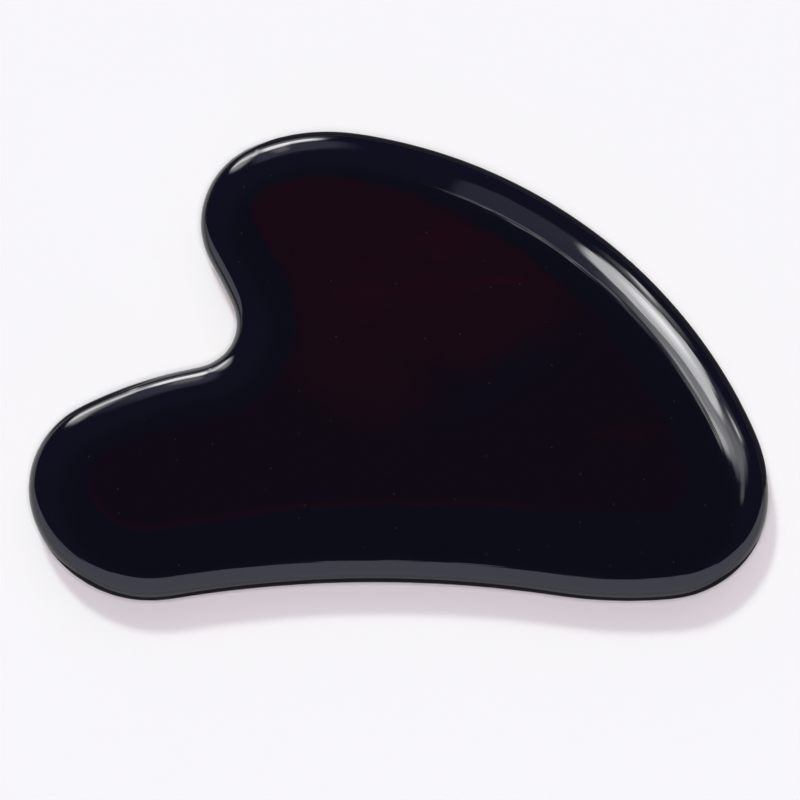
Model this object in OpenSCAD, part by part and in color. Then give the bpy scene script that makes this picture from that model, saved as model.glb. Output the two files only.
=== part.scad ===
// Gua sha scraper: one polished slab of obsidian, lying on one of its two flat faces.
// Millimetres, +Z up. The origin is on the lower face, at the middle of the outline's box.
// X runs along the stone, from the two lobes at -X to the heel at +X.
//
// The outline is a closed chain of tangent arcs. The six named bends below are placed by
// their centres and radii. Each is joined to the next by one arc of a given radius, whose
// centre follows from its being tangent to both.

/* [Slab] */
// Thickness between the two flat faces
thickness = 6.2; // [5.2:0.1:7.4]
// Radius of the blunt nose that runs round the rim
nose_r = 2.2; // [1.6:0.1:2.6]
// Radius of the shoulders between the nose and the flat faces
shoulder_r = 12; // [10:0.5:14]

/* [Heel, the round end] */
// Distance of the heel's centre along X
heel_x = 28.4; // [27:0.1:28.7]
// Distance of the heel's centre along Y
heel_y = -14.6; // [-15.5:0.1:-13.8]
// Radius of the heel
heel_r = 11.5; // [10.5:0.1:11.8]

/* [Back, the long convex edge] */
// Distance of the back's centre along X
back_x = -13; // [-13.3:0.1:-11]
// Distance of the back's centre along Y
back_y = -29.1; // [-30:0.1:-27.5]
// Radius of the back
back_r = 55.8; // [55.5:0.1:59]

/* [Upper lobe] */
// Distance of the upper lobe's centre along X
upper_x = -12.2; // [-14:0.1:-10]
// Distance of the upper lobe's centre along Y
upper_y = 16; // [14:0.1:17]
// Radius of the upper lobe
upper_r = 9.4; // [8.4:0.1:10.2]

/* [Notch, which fits over the jaw] */
// Distance of the notch's centre along X
notch_x = -22.6; // [-24.5:0.1:-21]
// Distance of the notch's centre along Y
notch_y = 4.6; // [3:0.1:6]
// Radius of the notch
notch_r = 5; // [3.5:0.1:7]

/* [Lower lobe] */
// Distance of the lower lobe's centre along X
lower_x = -29.8; // [-31:0.1:-28]
// Distance of the lower lobe's centre along Y
lower_y = -13.8; // [-15:0.1:-12]
// Radius of the lower lobe
lower_r = 10.2; // [9:0.1:11.5]

/* [Base, the long hollow edge] */
// Distance of the base's centre along X
base_x = -2.6; // [-4.5:0.1:-0.5]
// Distance of the base's centre along Y
base_y = -154.4; // [-156:0.1:-153.4]
// Radius of the base
base_r = 130.2; // [128.5:0.1:131]

/* [Joining arcs] */
// Radius between the heel and the back
heel_back_r = 17.5; // [15:0.5:20]
// Radius between the back and the upper lobe
crown_r = 20.7; // [18:0.1:23.5]
// Radius of the hollow between the upper lobe and the notch
upper_flank_r = 53; // [43:1:65]
// Radius between the notch and the lower lobe
lower_flank_r = 45; // [35:1:55]
// Radius between the lower lobe and the base
belly_r = 13.4; // [12.4:0.1:16]
// Radius between the base and the heel
sole_r = 49.6; // [40:0.2:60]

/* [Hidden] */

// The chain, counterclockwise. A bend is [centre, radius] and a join is its radius alone.
// A hollow stretch has a negative radius.
bends = [
    [[heel_x, heel_y], heel_r],
    [[back_x, back_y], back_r],
    [[upper_x, upper_y], upper_r],
    [[notch_x, notch_y], -notch_r],
    [[lower_x, lower_y], lower_r],
    [[base_x, base_y], -base_r]
];
joins = [heel_back_r, crown_r, -upper_flank_r, lower_flank_r, belly_r, sole_r];

// The circle of radius r that is tangent to the circles p and q and turns as they do.
function join_arc(p, q, r) =
    let (
        reach_p = abs(r - p[1]),
        reach_q = abs(r - q[1]),
        span = norm(q[0] - p[0]),
        along = (q[0] - p[0]) / span,
        foot = (reach_p^2 - reach_q^2 + span^2) / (2 * span),
        rise = sqrt(reach_p^2 - foot^2),
        side = -sign((p[1] - r) * (r - q[1]) * r)
    )
    [p[0] + foot * along + side * rise * [-along[1], along[0]], r];

bend_count = len(bends);
chain = [
    for (i = [0 : bend_count - 1])
        let (next = bends[(i + 1) % bend_count])
        each [bends[i], join_arc(bends[i], next, joins[i])]
];
arc_count = len(chain);

// Direction in which the arc p hands over to the arc q: their shared outward normal.
function handover(p, q) =
    let (normal = (q[0] - p[0]) / (p[1] - q[1]))
    atan2(normal[1], normal[0]);

// An angle brought into -180 to 180.
function wrapped(angle) = angle - 360 * round(angle / 360);

// Each arc as [centre, radius, start angle, sweep]. A hollow arc has a negative sweep.
arcs = [
    for (i = [0 : arc_count - 1])
        let (
            arc = chain[i],
            start = handover(chain[(i + arc_count - 1) % arc_count], arc),
            end = handover(arc, chain[(i + 1) % arc_count])
        )
        [arc[0], arc[1], start, wrapped(end - start)]
];

// Each arc has to turn its own way, and to leave room for the rim inside it.
assert(min([for (arc = arcs) sign(arc[1]) * arc[3]]) > 0, "two bends don't join smoothly");
assert(min([for (arc = arcs) if (arc[1] > 0) arc[1]]) > lap_edge, "a bend is tighter than the rim");

// Stations round the outline, no further apart than either of these. Each is
// [centre, radius, direction] on its arc.
station_angle = 6;
station_gap = 2;
stations = [
    for (arc = arcs)
        let (
            travel = abs(arc[1] * arc[3]) * PI / 180,
            count = ceil(max(abs(arc[3]) / station_angle, travel / station_gap))
        )
        for (k = [0 : count - 1])
            let (angle = arc[2] + arc[3] * k / count)
            [arc[0], arc[1], [cos(angle), sin(angle)]]
];
station_count = len(stations);

// A point of the outline drawn inwards by inset.
function inset_point(station, inset) = station[0] + (station[1] - inset) * station[2];

// Middle of the outline's box.
outline_x = [for (station = stations) inset_point(station, 0)[0]];
outline_y = [for (station = stations) inset_point(station, 0)[1]];
middle = [min(outline_x) + max(outline_x), min(outline_y) + max(outline_y)] / 2;

// Section of the rim as [inset, height], from the edge of the lower flat, out round the
// nose and back to the edge of the upper flat. The shoulders are tangent to all they meet.
half = thickness / 2;
shoulder_turn = acos((shoulder_r - half) / (shoulder_r - nose_r));
rim_w = nose_r + (shoulder_r - nose_r) * sin(shoulder_turn);
shoulder_steps = 3;
nose_steps = 8;
function sweep_points(centre, radius, from, to, steps) = [
    for (k = [0 : steps])
        let (angle = from + (to - from) * k / steps)
        centre + radius * [cos(angle), sin(angle)]
];
lower_shoulder = sweep_points(
    [rim_w, shoulder_r], shoulder_r, 270, 270 - shoulder_turn, shoulder_steps);
nose = sweep_points(
    [nose_r, half], nose_r, 270 - shoulder_turn, 90 + shoulder_turn, nose_steps);
upper_shoulder = sweep_points(
    [rim_w, thickness - shoulder_r], shoulder_r, 90 + shoulder_turn, 90, shoulder_steps);
// The rim carries on under both flats by a lap, half of which the core fills.
rim_lap = 1;
lap_edge = rim_w + rim_lap;
section = [
    [lap_edge, 0],
    each lower_shoulder,
    for (k = [1 : nose_steps - 1]) nose[k],
    each upper_shoulder,
    [lap_edge, thickness]
];
level_count = len(section);

// The rim is a closed ring: one loop of points for each point of the section, with every
// loop joined to the next and the last to the first.
module rim() {
    points = [
        for (place = section)
            for (station = stations)
                let (point = inset_point(station, place[0]))
                [point[0], point[1], place[1]]
    ];
    faces = [
        for (level = [0 : level_count - 1])
            for (i = [0 : station_count - 1])
                let (
                    next = (i + 1) % station_count,
                    low = level * station_count,
                    high = ((level + 1) % level_count) * station_count
                )
                [low + i, high + i, high + next, low + next]
    ];
    polyhedron(points, faces);
}

// The flat middle of the slab.
module core() {
    core_inset = rim_w + rim_lap / 2;
    linear_extrude(thickness)
        polygon([for (station = stations) inset_point(station, core_inset)]);
}

module scraper_stone() {
    color("#15101a")
        translate(-middle) {
            rim();
            core();
        }
}

scraper_stone();
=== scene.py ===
"""A polished obsidian gua sha stone on a pale studio floor. Metres, in the CAD frame."""

import math

import bmesh
import bpy
import numpy as np
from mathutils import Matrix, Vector, noise
from mathutils.geometry import delaunay_2d_cdt


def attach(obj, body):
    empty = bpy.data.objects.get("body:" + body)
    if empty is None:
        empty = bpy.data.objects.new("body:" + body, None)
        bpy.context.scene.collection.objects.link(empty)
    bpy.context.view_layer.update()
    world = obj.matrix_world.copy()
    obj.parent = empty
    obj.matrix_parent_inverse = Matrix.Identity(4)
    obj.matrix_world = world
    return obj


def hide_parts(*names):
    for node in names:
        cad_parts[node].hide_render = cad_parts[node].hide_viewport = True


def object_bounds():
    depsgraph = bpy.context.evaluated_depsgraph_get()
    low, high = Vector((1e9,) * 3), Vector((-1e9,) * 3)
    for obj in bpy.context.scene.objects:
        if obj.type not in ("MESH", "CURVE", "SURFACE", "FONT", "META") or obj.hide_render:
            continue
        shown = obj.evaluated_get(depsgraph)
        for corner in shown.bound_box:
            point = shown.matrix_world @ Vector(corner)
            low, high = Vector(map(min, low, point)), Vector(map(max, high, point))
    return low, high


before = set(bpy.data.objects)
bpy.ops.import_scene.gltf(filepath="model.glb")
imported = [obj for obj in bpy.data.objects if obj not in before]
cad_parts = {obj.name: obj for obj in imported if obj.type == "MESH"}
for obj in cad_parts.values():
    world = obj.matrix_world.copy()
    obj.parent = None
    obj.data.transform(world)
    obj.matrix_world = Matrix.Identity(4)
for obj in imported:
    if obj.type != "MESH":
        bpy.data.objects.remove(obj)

MM = 0.001
CAD_LOW, CAD_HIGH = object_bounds()
LENGTH = CAD_HIGH.x - CAD_LOW.x
THICKNESS = CAD_HIGH.z - CAD_LOW.z
HALF = THICKNESS / 2

# The rim's section: a blunt nose that runs into a wide shoulder on each side.
NOSE_R = 2.2 * MM
SHOULDER_R = 12 * MM
SHOULDER_TURN = math.acos((SHOULDER_R - HALF) / (SHOULDER_R - NOSE_R))
RIM_W = NOSE_R + (SHOULDER_R - NOSE_R) * math.sin(SHOULDER_TURN)

# The cage that is subdivided into the finished skin. Its flats are filled with staggered
# points FLAT_GAP apart, in rows ROW_RISE gaps apart, that keep RING_CLEARANCE from the edge.
STATIONS = 280
OUTLINE_SPREAD = 1.1 * MM
NOSE_STEPS = 8
SHOULDER_STEPS = 5
FLAT_GAP = 1.5 * MM
FLAT_EDGE = RIM_W + FLAT_GAP
FLAT_START = RIM_W + FLAT_GAP / 3
ROW_RISE = 0.866
RING_CLEARANCE = 0.6 * FLAT_GAP
SNAP = 0.01 * MM
FILL_EPSILON = 1e-9
ANY_ANGLE = 3.14
WAVE_HEIGHT = 0.012 * MM
WAVE_LENGTH = 7 * MM
SUBDIVISIONS = 2


# ---------------------------------------------------------------- the stone's shape

def rim_loop(node):
    """The outermost points of the CAD rim, in order round the stone, as complex x + iy."""
    mesh = node.data
    middle = CAD_LOW.z + HALF
    keys = {}
    for vertex in mesh.vertices:
        if abs(vertex.co.z - middle) < SNAP:
            keys[vertex.index] = (round(vertex.co.x, 6), round(vertex.co.y, 6))
    beside = {}
    for edge in mesh.edges:
        a, b = (keys.get(i) for i in edge.vertices)
        if a and b and a != b:
            beside.setdefault(a, set()).add(b)
            beside.setdefault(b, set()).add(a)
    start = min(beside)
    loop, last, here = [start], None, start
    while True:
        onward = [key for key in sorted(beside[here]) if key != last]
        last, here = here, onward[0]
        if here == start:
            break
        loop.append(here)
    points = np.array([complex(*key) for key in loop])
    area = np.sum((points.conj() * np.roll(points, -1)).imag)
    return points if area > 0 else points[::-1]


def smooth_outline(loop, count, spread):
    """The loop as count even points on a smooth closed curve, with its outward normals.

    The blur is applied once and then makes up for what it took, so wide bends stay put.
    """
    closed = np.append(loop, loop[0])
    travel = np.concatenate([[0], np.cumsum(np.abs(np.diff(closed)))])
    even = np.linspace(0, travel[-1], count, endpoint=False)
    points = np.interp(even, travel, closed.real) + 1j * np.interp(even, travel, closed.imag)
    wave = 2 * np.pi * np.fft.fftfreq(count, travel[-1] / count)
    blur = np.exp(-((wave * spread) ** 2) / 2)
    spectrum = np.fft.fft(points) * blur * (2 - blur)
    tangent = np.fft.ifft(1j * wave * spectrum)
    return np.fft.ifft(spectrum), -1j * tangent / np.abs(tangent)


def rim_section():
    """The rim's section as (inset, height) pairs, from the lower flat out to the upper flat."""
    lower, upper = math.pi * 1.5, math.pi * 0.5
    arcs = [
        (RIM_W, CAD_LOW.z + SHOULDER_R, SHOULDER_R, lower, lower - SHOULDER_TURN, SHOULDER_STEPS),
        (NOSE_R, CAD_LOW.z + HALF, NOSE_R, lower - SHOULDER_TURN, upper + SHOULDER_TURN, NOSE_STEPS),
        (RIM_W, CAD_HIGH.z - SHOULDER_R, SHOULDER_R, upper + SHOULDER_TURN, upper, SHOULDER_STEPS),
    ]
    section = [(FLAT_EDGE, CAD_LOW.z), (FLAT_START, CAD_LOW.z)]
    for inset, height, radius, start, end, steps in arcs:
        for k in range(steps):
            angle = start + (end - start) * k / steps
            section.append((inset + radius * math.cos(angle), height + radius * math.sin(angle)))
    return section + [(RIM_W, CAD_HIGH.z), (FLAT_START, CAD_HIGH.z), (FLAT_EDGE, CAD_HIGH.z)]


def well_inside(ring, x, y):
    """Whether a point is inside the closed ring and clear of it, by a count of crossings."""
    if np.abs(ring - complex(x, y)).min() <= RING_CLEARANCE:
        return False
    xs, ys = ring.real, ring.imag
    next_xs, next_ys = np.roll(xs, -1), np.roll(ys, -1)
    crossing = (ys > y) != (next_ys > y)
    rise = next_ys - ys
    reach = xs + (y - ys) / np.where(rise == 0, 1, rise) * (next_xs - xs)
    return np.sum(crossing & (x < reach)) % 2 == 1


def flat_spots(ring):
    """Staggered rows of points that fill the closed ring."""
    xs, ys = ring.real, ring.imag
    rows = int((ys.max() - ys.min()) / (FLAT_GAP * ROW_RISE)) + 1
    columns = int((xs.max() - xs.min()) / FLAT_GAP) + 1
    spots = []
    for row in range(rows):
        y = ys.min() + row * FLAT_GAP * ROW_RISE
        for column in range(columns):
            x = xs.min() + (column + 0.5 * (row % 2)) * FLAT_GAP
            if well_inside(ring, x, y):
                spots.append(Vector((x, y)))
    return spots


def flat_fill(ring):
    """Points inside the closed ring, and triangles that join them and the ring's own points."""
    spots = flat_spots(ring)
    count = len(ring)
    points = [Vector((p.real, p.imag)) for p in ring] + spots
    edges = [(i, (i + 1) % count) for i in range(count)]
    filled = delaunay_2d_cdt(points, edges, [], 1, FILL_EPSILON)
    if len(filled[0]) != len(points):
        raise RuntimeError("the flat fill moved or joined its points")
    return spots, filled[2]


def polishing_waves(co):
    """How far hand polishing leaves the surface from its true shape, at a point."""
    return WAVE_HEIGHT * noise.noise(co / WAVE_LENGTH)


def add_point(bm, inset_layer, x, y, height, inset):
    vertex = bm.verts.new((x, y, height))
    vertex[inset_layer] = inset
    return vertex


def add_rim(bm, inset_layer, outline, outward):
    """The rim as rings of quads. Returns its lowest and highest rings."""
    rings = []
    for inset, height in rim_section():
        path = outline - outward * inset
        rings.append([add_point(bm, inset_layer, p.real, p.imag, height, inset) for p in path])
    for low, high in zip(rings, rings[1:]):
        for i in range(STATIONS):
            j = (i + 1) % STATIONS
            bm.faces.new((low[i], low[j], high[j], high[i]))
    return rings[0], rings[-1]


def add_flat(bm, inset_layer, outline, ring, height, filling, turned):
    """One flat face inside a ring, facing down if it is turned."""
    spots, triangles = filling
    flat = list(ring)
    for spot in spots:
        inset = np.abs(outline - complex(spot.x, spot.y)).min()
        flat.append(add_point(bm, inset_layer, spot.x, spot.y, height, inset))
    faces = []
    for triangle in triangles:
        corners = [flat[i] for i in triangle]
        faces.append(bm.faces.new(corners[::-1] if turned else corners))
    bmesh.ops.join_triangles(
        bm, faces=faces, angle_face_threshold=ANY_ANGLE, angle_shape_threshold=ANY_ANGLE)


def stone_skin():
    """The whole skin of the stone as one closed mesh, with each point's inset from the rim."""
    loop = rim_loop(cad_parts["scraper_stone"])
    outline, outward = smooth_outline(loop, STATIONS, OUTLINE_SPREAD)
    bm = bmesh.new()
    inset_layer = bm.verts.layers.float.new("inset")
    lowest, highest = add_rim(bm, inset_layer, outline, outward)
    filling = flat_fill(outline - outward * FLAT_EDGE)
    add_flat(bm, inset_layer, outline, lowest, CAD_LOW.z, filling, turned=True)
    add_flat(bm, inset_layer, outline, highest, CAD_HIGH.z, filling, turned=False)
    bm.normal_update()
    for vertex in bm.verts:
        if vertex.co.z >= CAD_LOW.z + SNAP:
            vertex.co += vertex.normal * polishing_waves(vertex.co)
    mesh = bpy.data.meshes.new("scraper_stone_skin")
    bm.to_mesh(mesh)
    bm.free()
    mesh.polygons.foreach_set("use_smooth", [True] * len(mesh.polygons))
    return mesh


def add_object(name, data):
    thing = bpy.data.objects.new(name, data)
    bpy.context.scene.collection.objects.link(thing)
    return thing


def build_stone():
    """The finished stone, which stands for the CAD one."""
    stone = add_object("polished_stone", stone_skin())
    subdivision = stone.modifiers.new("subdivision", "SUBSURF")
    subdivision.levels = SUBDIVISIONS
    subdivision.render_levels = SUBDIVISIONS
    stone.data.materials.append(obsidian())
    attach(stone, "root")
    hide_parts("scraper_stone")


# ---------------------------------------------------------------- its material

class Nodes:
    """A short way to write a node tree. A value may be a constant or another node's socket."""

    def __init__(self, owner):
        owner.use_nodes = True
        self.tree = owner.node_tree
        self.tree.nodes.clear()

    def put(self, socket, value):
        if isinstance(value, bpy.types.NodeSocket):
            self.tree.links.new(value, socket)
        else:
            socket.default_value = value

    def add(self, kind, inputs=None, **settings):
        node = self.tree.nodes.new(kind)
        for name, value in settings.items():
            setattr(node, name, value)
        for name, value in (inputs or {}).items():
            self.put(node.inputs[name], value)
        return node

    def math(self, operation, *values):
        node = self.add("ShaderNodeMath", operation=operation)
        for socket, value in zip(node.inputs, values):
            self.put(socket, value)
        return node.outputs[0]

    def vector(self, operation, first, second, output="Vector"):
        kind = "ShaderNodeVectorMath"
        return self.add(kind, {0: first, 1: second}, operation=operation).outputs[output]

    def part(self, vector, axis):
        return self.add("ShaderNodeSeparateXYZ", {0: vector}).outputs[axis]

    def noise(self, place, scale, detail, output="Fac"):
        inputs = {"Vector": place, "Scale": scale, "Detail": detail}
        return self.add("ShaderNodeTexNoise", inputs).outputs[output]

    def band(self, value, low, high):
        """0 below low, 1 above high, with a smooth step between."""
        inputs = {"Value": value, "From Min": low, "From Max": high}
        node = self.add("ShaderNodeMapRange", inputs, interpolation_type="SMOOTHSTEP")
        return node.outputs["Result"]

    def mix(self, amount, first, second):
        """The first colour where amount is 0, and the second where it is 1."""
        node = self.add("ShaderNodeMix", data_type="RGBA")
        self.put(node.inputs[0], amount)
        self.put(node.inputs[6], first)
        self.put(node.inputs[7], second)
        return node.outputs[2]


def plain_material(name, kind, inputs):
    """A material with one shader and constants on its sockets."""
    material = bpy.data.materials.new(name)
    n = Nodes(material)
    shader = n.add(kind, inputs)
    n.add("ShaderNodeOutputMaterial", {"Surface": shader.outputs[0]})
    return material


NAVY = (0.0038, 0.0038, 0.0078, 1)
PLUM = (0.0048, 0.0030, 0.0063, 1)
MAROON = (0.0082, 0.0030, 0.0063, 1)
RED = (0.0120, 0.0028, 0.0061, 1)
SPECK = (0.020, 0.018, 0.024, 1)

# How far in from the rim the navy glass turns to plum, and how that depth leans with place.
PLUM_START = 6.7 * MM
PLUM_END = 7.7 * MM
DEPTH_LEAN = (-0.04, 0.05, 0)
STIR_SCALE = 160
STIR_REACH = 5 * MM
WISP_TURN = -32
WISP_SCALE = (110, 520, 110)

# The polishing lines repeat quickly across the rim and slowly along it. Waves per metre.
LINES_ACROSS = 2600
LINES_ALONG = 90
LINE_DEPTH = 0.006 * MM

IOR = 1.5
ROUGHNESS_LEAST = 0.035
ROUGHNESS_SPREAD = 0.03
HAZE_SCALE = 300
SPECK_CELLS = 300


def patch(n, place, middle, size, turn, fade):
    """1 inside an ellipse on the stone, in millimetres, falling to 0 over fade of its radius."""
    spot = n.add(
        "ShaderNodeMapping",
        {
            "Vector": place,
            "Location": (middle[0] * MM, middle[1] * MM, 0),
            "Rotation": (0, 0, math.radians(turn)),
            "Scale": (size[0] * MM, size[1] * MM, 1),
        },
        vector_type="TEXTURE").outputs[0]
    flat = n.vector("MULTIPLY", spot, (1, 1, 0))
    away = n.add("ShaderNodeVectorMath", {0: flat}, operation="LENGTH").outputs["Value"]
    return n.math("SUBTRACT", 1, n.band(away, 1 - fade, 1))


def stir(n, place):
    """How far a cloudy swirl in the glass moves its colours at each place."""
    swirl = n.noise(place, STIR_SCALE, 5, "Color")
    centred = n.vector("SUBTRACT", swirl, (0.5, 0.5, 0.5))
    scale = {0: centred, "Scale": STIR_REACH}
    return n.add("ShaderNodeVectorMath", scale, operation="SCALE").outputs[0]


def maroon_glow(n, stirred, inside, colour):
    """The maroon clouds under the upper face, with a darker hollow in them."""
    upper = patch(n, stirred, (-0.5, 11), (23, 12.5), -20, 0.3)
    lower = patch(n, stirred, (-5, 0), (13, 9), -30, 0.7)
    glow = n.math("MULTIPLY", n.math("MAXIMUM", upper, lower), inside)
    hollow = patch(n, stirred, (11, -3), (15, 4.5), 28, 0.9)
    return n.mix(n.math("MULTIPLY", hollow, 0.7), n.mix(glow, colour, MAROON), NAVY)


def red_wisps(n, stirred, colour):
    """Redder streaks in the heart of the clouds, and a faint one in the heel."""
    turned = {"Vector": stirred, "Rotation": (0, 0, math.radians(WISP_TURN)), "Scale": WISP_SCALE}
    streaks = n.add("ShaderNodeMapping", turned).outputs[0]
    wisps = n.band(n.noise(streaks, 1, 4), 0.42, 0.62)
    heart = patch(n, stirred, (0, 9), (13, 5), 32, 0.9)
    arc = patch(n, stirred, (10, 7.5), (9, 3), 8, 0.9)
    drawn = n.math("MULTIPLY", n.math("MAXIMUM", heart, arc), wisps)
    heel = patch(n, stirred, (24, -8.8), (6, 1.5), 0, 0.8)
    return n.mix(n.math("MULTIPLY", heel, 0.3), n.mix(drawn, colour, RED), RED)


def front_seam(n, place, depth, colour):
    """A faint red line where the plum begins, along the near side only."""
    rise = n.band(depth, 6.8 * MM, 7.1 * MM)
    fall = n.band(depth, 7.3 * MM, 7.9 * MM)
    front = patch(n, place, (-10, -18), (30, 9), 0, 0.3)
    seam = n.math("MULTIPLY", n.math("SUBTRACT", rise, fall), front)
    return n.mix(n.math("MULTIPLY", seam, 0.4), colour, RED)


def with_specks(n, place, colour):
    """A few pinprick specks, one in some of the cells of a coarse grid."""
    inputs = {"Vector": place, "Scale": SPECK_CELLS}
    cells = n.add("ShaderNodeTexVoronoi", inputs, voronoi_dimensions="2D")
    near = n.math("SUBTRACT", 1, n.band(cells.outputs["Distance"], 0.01, 0.035))
    strength = n.band(n.part(cells.outputs["Color"], "X"), 0.5, 1)
    return n.mix(n.math("MULTIPLY", near, strength), colour, SPECK)


def glass_colour(n, place, inset):
    """Navy glass at the rim, plum inside it, and maroon clouds with red wisps and specks."""
    shift = stir(n, place)
    stirred = n.vector("ADD", place, shift)
    lean = n.vector("DOT_PRODUCT", place, DEPTH_LEAN, "Value")
    drift = n.math("MULTIPLY", n.part(shift, "X"), 0.3)
    depth = n.math("ADD", n.math("ADD", inset, lean), drift)
    inside = n.band(depth, PLUM_START, PLUM_END)
    colour = n.mix(inside, NAVY, PLUM)
    colour = maroon_glow(n, stirred, inside, colour)
    colour = red_wisps(n, stirred, colour)
    colour = front_seam(n, place, depth, colour)
    return with_specks(n, place, colour)


def polish(n, place, inset):
    """Fine lines that hand polishing leaves along the rim, as a bump."""
    across = n.math("MULTIPLY", inset, LINES_ACROSS)
    along_x = n.math("MULTIPLY", n.part(place, "X"), LINES_ALONG)
    along_y = n.math("MULTIPLY", n.part(place, "Y"), LINES_ALONG)
    axes = {"X": across, "Y": along_x, "Z": along_y}
    relief = n.noise(n.add("ShaderNodeCombineXYZ", axes).outputs[0], 1, 2)
    bump = n.add("ShaderNodeBump", {"Height": relief, "Strength": 1, "Distance": LINE_DEPTH})
    return bump.outputs["Normal"]


def obsidian():
    """Near-black glass with a maroon depth inside the rim, pinprick specks and fine polish."""
    material = bpy.data.materials.new("obsidian")
    n = Nodes(material)
    place = n.add("ShaderNodeTexCoord").outputs["Object"]
    inset = n.add("ShaderNodeAttribute", attribute_name="inset").outputs["Fac"]
    haze = n.band(n.noise(place, HAZE_SCALE, 4), 0.35, 0.75)
    inputs = {
        "Base Color": glass_colour(n, place, inset),
        "Roughness": n.math("MULTIPLY_ADD", haze, ROUGHNESS_SPREAD, ROUGHNESS_LEAST),
        "IOR": IOR,
        "Normal": polish(n, place, inset),
    }
    shader = n.add("ShaderNodeBsdfPrincipled", inputs)
    n.add("ShaderNodeOutputMaterial", {"Surface": shader.outputs[0]})
    return material


# ---------------------------------------------------------------- the studio

def direction(azimuth, elevation):
    """A unit vector: azimuth is counterclockwise from +X, in degrees."""
    a, e = math.radians(azimuth), math.radians(elevation)
    return Vector((math.cos(a) * math.cos(e), math.sin(a) * math.cos(e), math.sin(e)))


def hide_from_room(thing):
    """Leaves only the stone's polish to see a studio helper."""
    thing.visible_camera = False
    thing.visible_diffuse = False


HEAD_AWAY = 0.6
PANEL_GAP = 4 * MM


def panel(head, across, up, width, height, radiance, fade, squareness=2, turn=0, colour=(1, 1, 1)):
    """A lit panel on a light head, placed and sized in degrees as the stone sees it.

    Its light fades to nothing over the outer part, fade, of its width. A squareness of 2 is
    an ellipse, and more is squarer. No two panels lie at the same distance, so that each
    one adds to those in front of it.
    """
    distance = HEAD_AWAY + PANEL_GAP * len(bpy.data.lights)
    light = bpy.data.lights.new("panel", "AREA")
    light.shape = "RECTANGLE"
    light.size = 2 * distance * math.tan(math.radians(width / 2))
    light.size_y = 2 * distance * math.tan(math.radians(height / 2))
    light.energy = radiance * math.pi * light.size * light.size_y
    light.color = colour
    panel_glow(light, fade, squareness)
    lamp = add_object("panel", light)
    turned = direction(*head).to_track_quat("Z", "Y")
    offset = Vector((math.tan(math.radians(across)), math.tan(math.radians(up)), 1))
    lamp.location = turned @ (offset * distance)
    lamp.rotation_euler = turned.to_euler()
    lamp.rotation_euler.rotate_axis("Z", math.radians(turn))
    hide_from_room(lamp)


def panel_glow(light, fade, squareness):
    """Makes a panel's light fade towards its edge."""
    n = Nodes(light)
    spot = n.add("ShaderNodeNewGeometry").outputs["Parametric"]
    reach = []
    for axis in "XY":
        off_centre = n.math("ABSOLUTE", n.math("MULTIPLY_ADD", n.part(spot, axis), 2, -1))
        reach.append(n.math("POWER", off_centre, squareness))
    away = n.math("POWER", n.math("ADD", *reach), 1 / squareness)
    glow = n.math("SUBTRACT", 1, n.band(away, 1 - fade, 1))
    shine = n.add("ShaderNodeEmission", {"Strength": glow})
    n.add("ShaderNodeOutputLight", {"Surface": shine.outputs[0]})


FLOOR_REACH = 2.0
FLOOR_DROP = 0.05 * MM
PAINTED_SHADE_DROP = 0.02 * MM


def build_floor():
    """A plain pale floor, just under the stone."""
    corners = [(-1, -1), (1, -1), (1, 1), (-1, 1)]
    mesh = bpy.data.meshes.new("floor")
    mesh.from_pydata([(x * FLOOR_REACH, y * FLOOR_REACH, 0) for x, y in corners], [], [range(4)])
    inputs = {"Base Color": (0.84, 0.835, 0.84, 1), "Roughness": 0.9}
    mesh.materials.append(plain_material("pale_floor", "ShaderNodeBsdfPrincipled", inputs))
    floor = add_object("floor", mesh)
    floor.location.z = CAD_LOW.z - FLOOR_DROP


# The painted-shade sheet's edge in millimetres. The sheet is dark and only the stone's reflections
# see it, so it paints shade into them where the floor round the stone would be shaded. It runs a few
# millimetres behind the stone's left half and past its right end, so the near floor shows along the
# edge on those sides. A lip in front of the stone paints a reflected contact shade along the foot of
# its near edge.
PAINTED_SHADE_EDGE = [
    (300, 12), (300, 300), (-300, 300), (-300, 60), (-46, 24), (-46, -2), (-40, -3), (-32, 1),
    (-27, 4), (-38, 16), (-38, 30), (-20, 34), (-12, 25), (-12, -14), (-39, -20), (-39, -31),
    (41, -31), (41, -20), (36, -10), (46, -11.5), (60, -9),
]


def build_painted_shade():
    """A dark card under and round the stone, which only the reflections in the stone see: painted
    shade in those reflections, where the floor would be shaded.
    """
    mesh = bpy.data.meshes.new("shade_flag")
    points = [(x * MM, y * MM, 0) for x, y in PAINTED_SHADE_EDGE]
    mesh.from_pydata(points, [], [range(len(points))])
    # Painted shade: the dark colour that the stone's reflections show in place of shaded floor.
    inputs = {"Color": (0.09, 0.08, 0.085, 1)}
    mesh.materials.append(plain_material("painted_shade_sheet", "ShaderNodeBsdfDiffuse", inputs))
    shade_flag = add_object("shade_flag", mesh)
    shade_flag.location.z = CAD_LOW.z - PAINTED_SHADE_DROP
    hide_from_room(shade_flag)
    shade_flag.visible_shadow = False


# The white card curves round the stone's near side. Its spread to each side and its rise in
# the middle are in degrees as the stone sees it.
CARD_AWAY = 1.0
CARD_SPREAD = 102
CARD_RISE = 59
CARD_ROUNDNESS = 2.6
CARD_STEPS = 68


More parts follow.
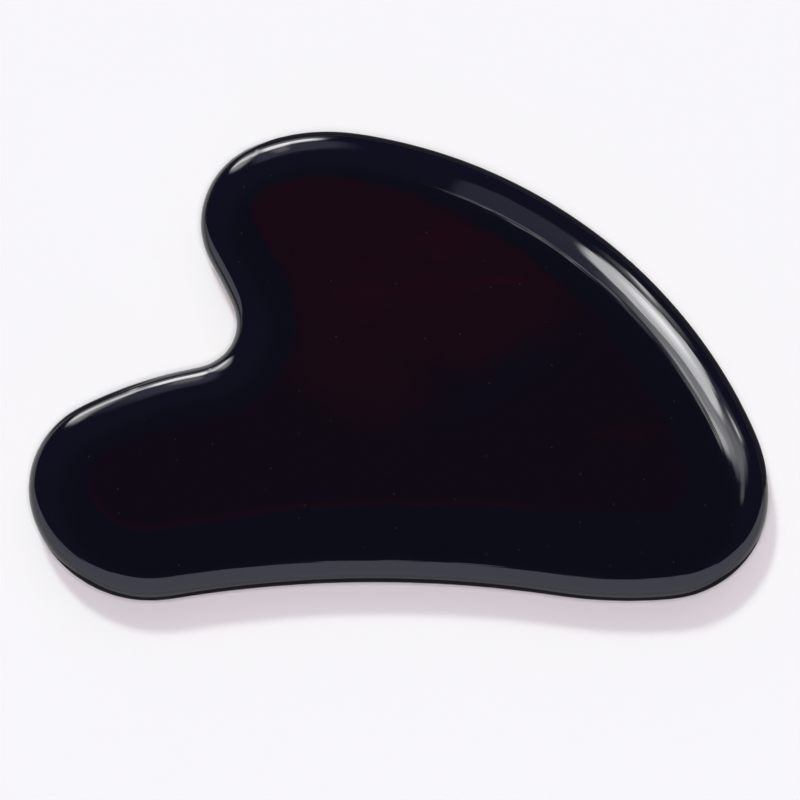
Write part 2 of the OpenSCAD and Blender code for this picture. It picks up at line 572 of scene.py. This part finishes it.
def build_card():
    """A curved upright white card in front of the stone, which shows along its near edge."""
    points = []
    for step in range(CARD_STEPS + 1):
        part = 2 * step / CARD_STEPS - 1
        turn = math.radians(-90 + CARD_SPREAD * part)
        rise = math.radians(CARD_RISE * (1 - abs(part) ** CARD_ROUNDNESS))
        place = (CARD_AWAY * math.cos(turn), CARD_AWAY * math.sin(turn))
        points.append((*place, 0))
        points.append((*place, CARD_AWAY * math.tan(rise)))
    faces = [(i, i + 2, i + 3, i + 1) for i in range(0, 2 * CARD_STEPS, 2)]
    mesh = bpy.data.meshes.new("card")
    mesh.from_pydata(points, [], faces)
    inputs = {"Color": (1, 1, 1.25, 1), "Strength": 1.15}
    mesh.materials.append(plain_material("card_board", "ShaderNodeEmission", inputs))
    card = add_object("card", mesh)
    hide_from_room(card)
    card.visible_shadow = False


def build_right_window():
    """The large diffuser behind the stone on the right, with its bulb and brighter corners."""
    head = (53, 45)
    panel(head, -1.5, 3, 35, 24, 0.38, fade=0.05, squareness=8, turn=10, colour=(0.9, 0.95, 1.25))
    panel(head, -13, 4, 22, 20, 2.3, fade=0.7, squareness=3, turn=20)
    panel(head, -1.2, -1.5, 17.5, 16, 9.5, fade=0.2, squareness=3.5, turn=6)
    panel(head, -1.5, -2.5, 13, 11, 10, fade=1)
    panel(head, -4, 9, 22, 11, 3.6, fade=0.8, squareness=3)
    panel(head, -5, 12, 17, 4, 6, fade=0.9, squareness=3)
    panel(head, -4, 15.3, 12, 1.8, 3.5, fade=0.8, squareness=3)
    panel(head, 8.5, 15.2, 16, 1.4, 3.2, fade=0.8, squareness=4)
    panel(head, 11, 14.3, 4, 3, 2, fade=0.9)
    panel(head, -0.5, -14, 15, 12, 2, fade=0.8, squareness=2.5)
    panel(head, 0.5, -15, 5, 12, 7, fade=0.9, turn=14)
    panel(head, -13.5, -5.5, 7, 5, 8, fade=0.9)
    panel(head, -21, 12, 7, 14, 1.7, fade=0.9, turn=42)


def build_left_window():
    """The lower diffuser behind the stone on the left, which lights the tips of its lobes."""
    head = (105, 22)
    panel(head, 4, -1.5, 36, 11, 7, fade=0.35, squareness=4)
    panel(head, 13, 3, 19, 20, 4.5, fade=0.55, squareness=2.3, turn=40)
    panel(head, 5, 2, 4, 8, 4, fade=0.7, squareness=3)
    panel(head, -1.5, -0.5, 8, 12, 8, fade=0.5, squareness=3)
    panel(head, -8, -2, 11, 11, 7, fade=0.6, squareness=3)
    panel(head, 2, -9, 38, 20, 2, fade=0.5, squareness=3)
    panel(head, 4, -12, 2, 24, 4, fade=0.8)
    panel(head, -2.5, 8, 5, 8, 1.5, fade=0.6, colour=(1.2, 0.98, 0.9))
    panel(head, -5, 10, 28, 16, 0.55, fade=0.5, squareness=4, colour=(0.9, 0.95, 1.25))


def far_lamp(head, spread, strength, colour):
    """A far lamp for the floor and its shadow, which the stone's polish doesn't mirror."""
    light = bpy.data.lights.new("far_lamp", "SUN")
    light.angle = math.radians(spread)
    light.energy = strength
    light.color = colour
    lamp = add_object("far_lamp", light)
    lamp.rotation_euler = direction(*head).to_track_quat("Z", "Y").to_euler()
    lamp.visible_glossy = False


ROSE = (1.04, 0.95, 0.965)
MINT = (0.825, 1, 0.91)


def build_room_light():
    """Soft light from the front and the back, and a harder lamp whose shadow falls forwards."""
    far_lamp((270, 75), 20, 2.25, ROSE)
    far_lamp((90, 60), 60, 0.44, ROSE)
    far_lamp((112, 51), 9, 1.26, MINT)


BACKDROP_AWAY = 1.9


def build_backdrop():
    """A pale round wall that only the camera sees, so low views don't look into the dark room."""
    bm = bmesh.new()
    bmesh.ops.create_uvsphere(bm, u_segments=48, v_segments=24, radius=BACKDROP_AWAY)
    mesh = bpy.data.meshes.new("backdrop")
    bm.to_mesh(mesh)
    bm.free()
    inputs = {"Color": (0.88, 0.87, 0.90, 1), "Strength": 1}
    mesh.materials.append(plain_material("backdrop_paper", "ShaderNodeEmission", inputs))
    backdrop = add_object("backdrop", mesh)
    backdrop.visible_glossy = False
    backdrop.visible_diffuse = False
    backdrop.visible_transmission = False
    backdrop.visible_shadow = False


def build_world():
    """A dim blue room that is black overhead."""
    world = bpy.data.worlds.new("dim_room")
    n = Nodes(world)
    height = n.part(n.add("ShaderNodeTexCoord").outputs["Generated"], "Z")
    lit = n.math("SUBTRACT", 1, n.band(height, 0.75, 0.97))
    room = n.add("ShaderNodeBackground", {"Color": (0.025, 0.034, 0.095, 1), "Strength": lit})
    n.add("ShaderNodeOutputWorld", {"Surface": room.outputs[0]})
    bpy.context.scene.world = world


CAMERA_ELEVATION = 75
CAMERA_LENS = 400
VIEW_WIDTH = 1.0829 * LENGTH
AIM = Vector((0.16 * MM, -3.95 * MM, HALF))
CLIP_START = 0.01


def build_camera():
    """A long lens that looks steeply down over the stone's near edge."""
    camera = add_object("camera", bpy.data.cameras.new("camera"))
    camera.data.lens = CAMERA_LENS
    camera.data.clip_start = CLIP_START
    back = direction(-90, CAMERA_ELEVATION)
    distance = VIEW_WIDTH * CAMERA_LENS / camera.data.sensor_width
    camera.location = AIM + back * distance
    camera.rotation_euler = back.to_track_quat("Z", "Y").to_euler()
    bpy.context.scene.camera = camera
    bpy.context.scene.view_settings.view_transform = "Standard"


build_stone()
build_floor()
build_backdrop()
build_painted_shade()
build_right_window()
build_left_window()
build_card()
build_room_light()
build_world()
build_camera()
